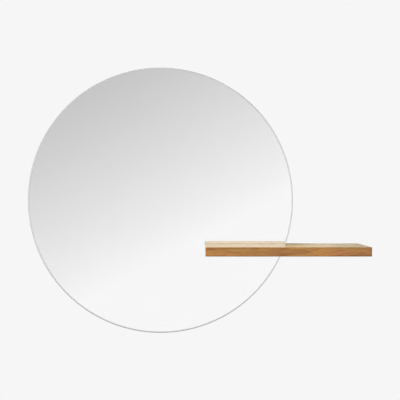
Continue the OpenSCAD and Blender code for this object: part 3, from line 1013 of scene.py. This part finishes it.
# %% Helpers: one fixing
def skinned(name, loops, ends=""):
    """A closed solid through loops of places. A loop may be one place, as at a tip."""
    shape = bmesh.new()
    loops = [[shape.verts.new(place) for place in loop] for loop in loops]
    if ends == "capped":
        shape.faces.new(loops[0])
        shape.faces.new(loops[-1])
    if ends == "joined":
        loops.append(loops[0])
    corners = max(len(loop) for loop in loops)
    for near, far in zip(loops, loops[1:]):
        for step in range(corners):
            pairs = ((near, step), (near, step + 1), (far, step + 1), (far, step))
            face = list(dict.fromkeys(loop[number % len(loop)] for loop, number in pairs))
            if len(face) > 2:
                shape.faces.new(face)
    bmesh.ops.recalc_face_normals(shape, faces=shape.faces)
    return built(name, shape)


def round_place(r, angle, distance):
    """A place round the axis of a fixing, at a distance from its wall end."""
    return (r * math.cos(angle), -distance, r * math.sin(angle))


def turned(name, rows, segments=48):
    """A closed turned solid, from its wall end into the room along -Y.

    rows holds (radius, distance) pairs; a radius may be a function of the angle, for threads.
    """
    loops = []
    for radius, distance in rows:
        angles = [2 * math.pi * step / segments for step in range(segments if radius else 1)]
        reach = radius if callable(radius) else lambda angle, r=radius: r
        loops.append([round_place(reach(angle), angle, distance) for angle in angles])
    return skinned(name, loops)


def thread_rows(core, crest, start, end, pitch, steps=6):
    """Rows of a screw thread: the radius follows the angle, so the crest climbs."""
    count = max(2, round((end - start) / pitch * steps))
    rows = []
    for number in range(count + 1):
        distance = start + (end - start) * number / count

        def radius(angle, distance=distance):
            phase = (distance / pitch + angle / (2 * math.pi)) % 1
            return core + (crest - core) * max(0.0, 1 - abs(phase - 0.5) * 3)

        rows.append((radius, distance))
    return rows


def cut_away(piece, tool):
    """Cuts the shape of a tool out of a piece and throws the tool away."""
    cut = piece.modifiers.new("cut", "BOOLEAN")
    cut.operation = "DIFFERENCE"
    cut.object = tool
    keep_as_mesh(piece)
    bpy.data.objects.remove(tool)
    return piece


def sink_shape(piece, outline, depth, taper=1.0, start=0.4 * MM, middle=(0.0, 0.0)):
    """Cuts a recess with this outline, as X and Z, into the wall side of a piece."""
    levels = {-start: 1.0, 0.0: 1.0, depth: taper}
    if taper == 1.0:
        levels.pop(0.0)
    loops = [
        [(middle[0] + x * scale, -distance, middle[1] + z * scale) for x, z in outline]
        for distance, scale in levels.items()
    ]
    return cut_away(piece, skinned("recess", loops, "capped"))


def smooth_by_angle(piece, degrees=32):
    """Smooth faces with crisp edges where the surface turns by more than this."""
    shape = bmesh.new()
    shape.from_mesh(piece.data)
    for face in shape.faces:
        face.smooth = True
    for edge in shape.edges:
        turn = edge.calc_face_angle(0) if edge.is_manifold else math.pi
        edge.smooth = turn < math.radians(degrees)
    shape.to_mesh(piece.data)
    shape.free()
    return piece


print("helpers for fixings ready")

# %% [markdown]
# The shelf's bolts have a low domed head with a six-sided socket and a machine thread of 1 mm
# pitch that runs into brass inserts. The head is a dome of a few rings, and the socket is cut
# out of it.

# %% Shelf bolts
HEAD_H = 3.3 * MM
BOLT_R = 3.0 * MM
FLATS = 4 * MM
DOME_STEPS = 8
NECK = 0.01 * MM


def hexagon(flats):
    """Outline of a six-sided socket, by its width across the flats."""
    r = flats / 2 / math.cos(math.radians(30))
    angles = [math.radians(60 * i) for i in range(6)]
    return [(r * math.cos(angle), r * math.sin(angle)) for angle in angles]


length = round_size("shelf_bolts")[1]
dome = HEAD_H * 2 / 3
dome_r = (head_r**2 + dome**2) / (2 * dome)
rows = [(0, 0.0)]
for number in range(1, DOME_STEPS + 1):
    rise = dome * number / DOME_STEPS
    rows.append((math.sqrt(max(0.0, dome_r**2 - (dome_r - rise) ** 2)), rise))
rows += [(head_r, HEAD_H - 0.3 * MM), (head_r - 0.3 * MM, HEAD_H), (BOLT_R, HEAD_H + NECK)]
rows += thread_rows(
    core=BOLT_R - 0.5 * MM, crest=BOLT_R, start=HEAD_H + 4 * MM, end=length - 0.6 * MM, pitch=1 * MM
)
rows += [(BOLT_R - 0.7 * MM, length), (0, length)]
bolt = turned("bolt_pattern", rows)
smooth_by_angle(sink_shape(bolt, hexagon(FLATS), dome + 0.3 * MM))
set_in_row("bolts_with_dome_heads", bolt, "shelf_bolts", "zinc_steel", BOLTS, 60, 4)

# %% [markdown]
# Under each head sit a flat washer, stamped with rounded outer edges, and a spring washer: a
# ring of square wire that was cut through once and sprung apart. A primitive ring could stand
# for either, but the spring washer is one turn of a very flat helix. So both are a small
# section swept round, and the open one is closed at its ends.

# %% Washers
BORE_R = 3.3 * MM
LIFT = 0.25 * MM
SPRING_TURN = math.radians(350)
SWEEP_STEPS = 64


def ring_solid(name, outer, inner, thickness, ease, span=2 * math.pi, lift=0.0):
    """A flat ring with eased edges. With a span under one turn it is open and closed by ends."""
    section = [
        (inner, ease), (inner + ease, 0), (outer - ease, 0), (outer, ease),
        (outer, thickness - ease), (outer - ease, thickness),
        (inner + ease, thickness), (inner, thickness - ease),
    ]
    whole = span >= 2 * math.pi
    slices = []
    for step in range(SWEEP_STEPS if whole else SWEEP_STEPS + 1):
        angle = math.pi / 2 + (2 * math.pi - span) / 2 + span * step / SWEEP_STEPS
        shift = lift * (step / SWEEP_STEPS - 0.5)
        slices.append([round_place(r, angle, d + shift) for r, d in section])
    return smooth_by_angle(skinned(name, slices, "joined" if whole else "capped"), 50)


flat_r, flat_t = round_size("flat_washers")
washer = ring_solid("washer_pattern", flat_r, BORE_R, flat_t, ease=0.2 * MM)
set_in_row("stamped_washers", washer, "flat_washers", "zinc_steel", BOLTS, 180, 2)
spring_r, spring_t = round_size("spring_washers")
washer = ring_solid(
    "spring_pattern", spring_r, BORE_R, spring_t - LIFT, ease=0.15 * MM, span=SPRING_TURN, lift=LIFT
)
set_in_row("split_washers", washer, "spring_washers", "zinc_steel", BOLTS, 0, 3, LIFT / 2)

# %% [markdown]
# The panel rail is held by pan head screws and the keyhole plate by countersunk ones. Both have
# a cross recess and a wood screw's thread, whose crest stands out from a thin core, so they
# differ only in the rows of their heads and in a few sizes.

# %% Wood screws
CROSS_ARM = 0.16
CROSS_TAPER = 0.45
PAN_H = 2.5 * MM
PAN_FLAT = 0.55
PAN_R = 2.0 * MM
CSK_R = 1.75 * MM


def cross(width):
    """Outline of a cross recess."""
    a = width / 2
    b = width * CROSS_ARM
    return [
        (a, b), (b, b), (b, a), (-b, a), (-b, b), (-a, b),
        (-a, -b), (-b, -b), (-b, -a), (b, -a), (b, -b), (a, -b),
    ]


def wood_screw(name, head, length, core, crest, start, pitch, tip, recess, deep):
    """A screw from the rows of its head, its thread's radii and start, and its cross."""
    rows = head + thread_rows(core, crest, start, length - 2.2 * MM, pitch, steps=8)
    rows += [(tip, length - 1.2 * MM), (0, length)]
    screw = turned(name, rows, 32)
    return smooth_by_angle(sink_shape(screw, cross(recess), deep, CROSS_TAPER))


pan_r, length = round_size("panel_rail_screws")
head = [(0, 0.0), (pan_r * PAN_FLAT, 0.0)]
for number in range(1, 6):
    angle = math.radians(18 * number)
    swell = PAN_FLAT + (1 - PAN_FLAT) * math.sin(angle)
    head.append((pan_r * swell, PAN_H / 2 * (1 - math.cos(angle))))
head += [(pan_r, PAN_H - 0.2 * MM), (pan_r - 0.2 * MM, PAN_H), (PAN_R, PAN_H + NECK)]
screw = wood_screw(
    "pan_pattern", head, length, core=1.35 * MM, crest=PAN_R, start=PAN_H + 2.2 * MM,
    pitch=1.8 * MM, tip=0.9 * MM, recess=4.2 * MM, deep=1.7 * MM,
)
set_in_row("pan_head_screws", screw, "panel_rail_screws", "zinc_steel", 4, 90, 11)

csk_r, length = round_size("hanger_screws")
head = [
    (0, 0.0), (csk_r - 0.05 * MM, 0.0), (csk_r - 0.02 * MM, 0.1 * MM), (CSK_R, csk_r - CSK_R),
]
screw = wood_screw(
    "csk_pattern", head, length, core=1.15 * MM, crest=CSK_R, start=3.6 * MM,
    pitch=1.6 * MM, tip=0.8 * MM, recess=3.8 * MM, deep=1.6 * MM,
)
set_in_row("countersunk_screws", screw, "hanger_screws", "zinc_steel", 2, 90, 6)

# %% [markdown]
# The bumpers are the same turned disc again, small, undrilled and with a rounder edge, set as a
# row of two.

# %% Bumpers
pad_r, pad_t = round_size("wall_bumpers")
sizes = {
    "Middle": (0.0, -pad_t, 0.0), "Radius": pad_r, "Thickness": pad_t, "Front_Edge": 0.2 * MM,
    "Wall_Edge": 1.6 * MM, "Edge_Steps": 6, "Segments": 72, "Material": looks["bumper_rubber"],
}
bumper = grow("bumper_pattern", turned_disc, **{**PLAIN, **sizes})
set_in_row("rubber_bumpers", bumper, "wall_bumpers", "bumper_rubber", 2, 0, 1)

# %% [markdown]
# ## Rails and keyhole plate
# Their solids in the frame are already true, but every corner of them is a perfect knife edge,
# and no pressed or stamped metal has one. So each gets a copy with its loose triangles merged
# into whole faces and a rounding of a fraction of a millimetre, which is what catches the light.

# %% Softened copies
LOOSE = 0.002 * MM
SAME_PLANE = math.radians(0.5)


def flat_to_the_eye(piece):
    """Shades flat faces flat, whatever the rounded edges beside them do."""
    weigh = piece.modifiers.new("flat faces", "WEIGHTED_NORMAL")
    weigh.keep_sharp = True
    return keep_as_mesh(piece)


def take(piece, slot):
    """Gives a mesh the finish of a slot in place of what it had."""
    piece.data.materials.clear()
    piece.data.materials.append(looks[slot])


def softened(name, node, slot, width):
    """A copy of a node of the frame with slightly rounded edges."""
    shape = bmesh.new()
    shape.from_mesh(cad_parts[node].data)
    bmesh.ops.remove_doubles(shape, verts=shape.verts, dist=LOOSE)
    bmesh.ops.dissolve_limit(shape, angle_limit=SAME_PLANE, verts=shape.verts, edges=shape.edges)
    for face in shape.faces:
        face.smooth = True
    piece = built(name, shape)
    take(piece, slot)
    bevel = piece.modifiers.new("rounding", "BEVEL")
    bevel.width = width
    bevel.segments = 3
    bevel.limit_method = "ANGLE"
    bevel.angle_limit = CRISP
    bevel.harden_normals = False
    stand_in(flat_to_the_eye(piece), node)


softened("rail_on_wall", "wall_rail", "aluminium", 0.25 * MM)
softened("rail_on_panel", "panel_rail", "aluminium", 0.25 * MM)
softened("keyhole_plate", "hanger_plate", "zinc_steel", 0.2 * MM)

# %% [markdown]
# ## The board
# The shelf starts as a plain block. Its two upright front corners are rounded first, then every
# remaining edge is eased by about a millimetre, as a sanded board is. Only then is the notch
# for the disc cut, with the same cylinder as in the frame, so that its edge stays crisp enough
# to follow the glass, and the holes for inserts and keyhole plate are drilled.

# %% Board: the sanded block
CORNER_R = 4 * MM
EDGE_R = 1.2 * MM
TOUCHING = 0.001 * MM

shape = bmesh.new()
span = shelf_high - shelf_low
block = Matrix.Translation((shelf_low + shelf_high) / 2) @ Matrix.Diagonal((*span, 1))
bmesh.ops.create_cube(shape, size=1.0, matrix=block)
upright = [
    edge
    for edge in shape.edges
    if all(abs(v.co.y - shelf_low.y) < TOUCHING for v in edge.verts)
    and abs(edge.verts[0].co.z - edge.verts[1].co.z) > TOUCHING
]
bmesh.ops.bevel(shape, geom=upright, offset=CORNER_R, segments=10, profile=0.5, affect="EDGES")
crisp_edges = [edge for edge in shape.edges if edge.calc_face_angle(0) > CRISP]
bmesh.ops.bevel(shape, geom=crisp_edges, offset=EDGE_R, segments=5, profile=0.5, affect="EDGES")
bmesh.ops.recalc_face_normals(shape, faces=shape.faces)
board = built("oak_board", shape)
print("board before the cuts:", len(board.data.polygons), "faces")

# %% Board: notch and holes
NOTCH_GAP = 1.5 * MM
INSERT_HOLE_R = 4.55 * MM
BEYOND_INSERT = 5 * MM
CLEAR_OF_BACK = 1 * MM


def cut_round(x, z, radius, depth, vertices):
    """Cuts a round hole into the wall side of the board."""
    shape = bmesh.new()
    middle = Matrix.Translation((x, (CLEAR_OF_BACK - depth) / 2, z))
    bmesh.ops.create_cone(
        shape, cap_ends=True, segments=vertices, radius1=radius, radius2=radius,
        depth=CLEAR_OF_BACK + depth, matrix=middle @ Matrix.Rotation(math.radians(90), 4, "X"),
    )
    cut_away(board, built("drill", shape))


seat_depth = -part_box("glass_pads")[0].y
cut_round(mirror_middle.x, mirror_middle.z, mirror_r + NOTCH_GAP, seat_depth, 720)
insert_depth = -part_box("threaded_inserts")[0].y
for number in range(BOLTS):
    x = first_bolt_x + number * bolt_pitch
    cut_round(x, bolt_z, INSERT_HOLE_R, insert_depth + BEYOND_INSERT, 48)
print("board: notch and insert holes cut,", round(seat_depth / MM, 1), "mm to the seat")

# %% Board: pocket for the keyhole plate
PLATE_CORNER = 3 * MM
CORNER_STEPS = 8
HEAD_ROOM = (8.5 * MM, 16.5 * MM, 4.25 * MM)
HEAD_ROOM_DEEP = 8 * MM
PILOT_R = 1.8 * MM
PILOT_DEEP = 17 * MM


def slot_outline(width, height, radius):
    """Rounded rectangle in X and Z, centred on nought."""
    points = []
    for number, (sx, sz) in enumerate(((1, 1), (-1, 1), (-1, -1), (1, -1))):
        for step in range(CORNER_STEPS + 1):
            angle = math.radians(90 * (number + step / CORNER_STEPS))
            points.append((
                sx * (width / 2 - radius) + radius * math.cos(angle),
                sz * (height / 2 - radius) + radius * math.sin(angle),
            ))
    return points


plate_low, plate_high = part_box("hanger_plate")
plate = plate_high - plate_low
middle = ((plate_low.x + plate_high.x) / 2, (plate_low.z + plate_high.z) / 2)
for outline, depth in (
    (slot_outline(plate.x, plate.z, PLATE_CORNER), plate.y),
    (slot_outline(*HEAD_ROOM), HEAD_ROOM_DEEP),
):
    sink_shape(board, outline, depth, start=CLEAR_OF_BACK, middle=middle)
hook_low, hook_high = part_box("hanger_screws")
hook_z = (hook_low.z + hook_high.z) / 2
hook_reach = (hook_high.x - hook_low.x) / 2 - csk_r
for side in (-1, 1):
    cut_round(middle[0] + side * hook_reach, hook_z, PILOT_R, PILOT_DEEP, 32)
take(board, "oak")
stand_in(flat_to_the_eye(smooth_by_angle(board)), "shelf_board")

# %% [markdown]
# ## What keeps its solid
# Tape, inserts, sleeves and pads are plain in the real object too, and only their edges show,
# so their solids stay and take the finishes made above.

# %% Finishes for the remaining nodes
for node, slot in (
    ("bonding_tapes", "foam_tape"),
    ("threaded_inserts", "brass"),
    ("glass_sleeves", "nylon"),
    ("glass_pads", "soft_vinyl"),
):
    take(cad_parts[node], slot)
    print(node, "takes", looks[slot].name)
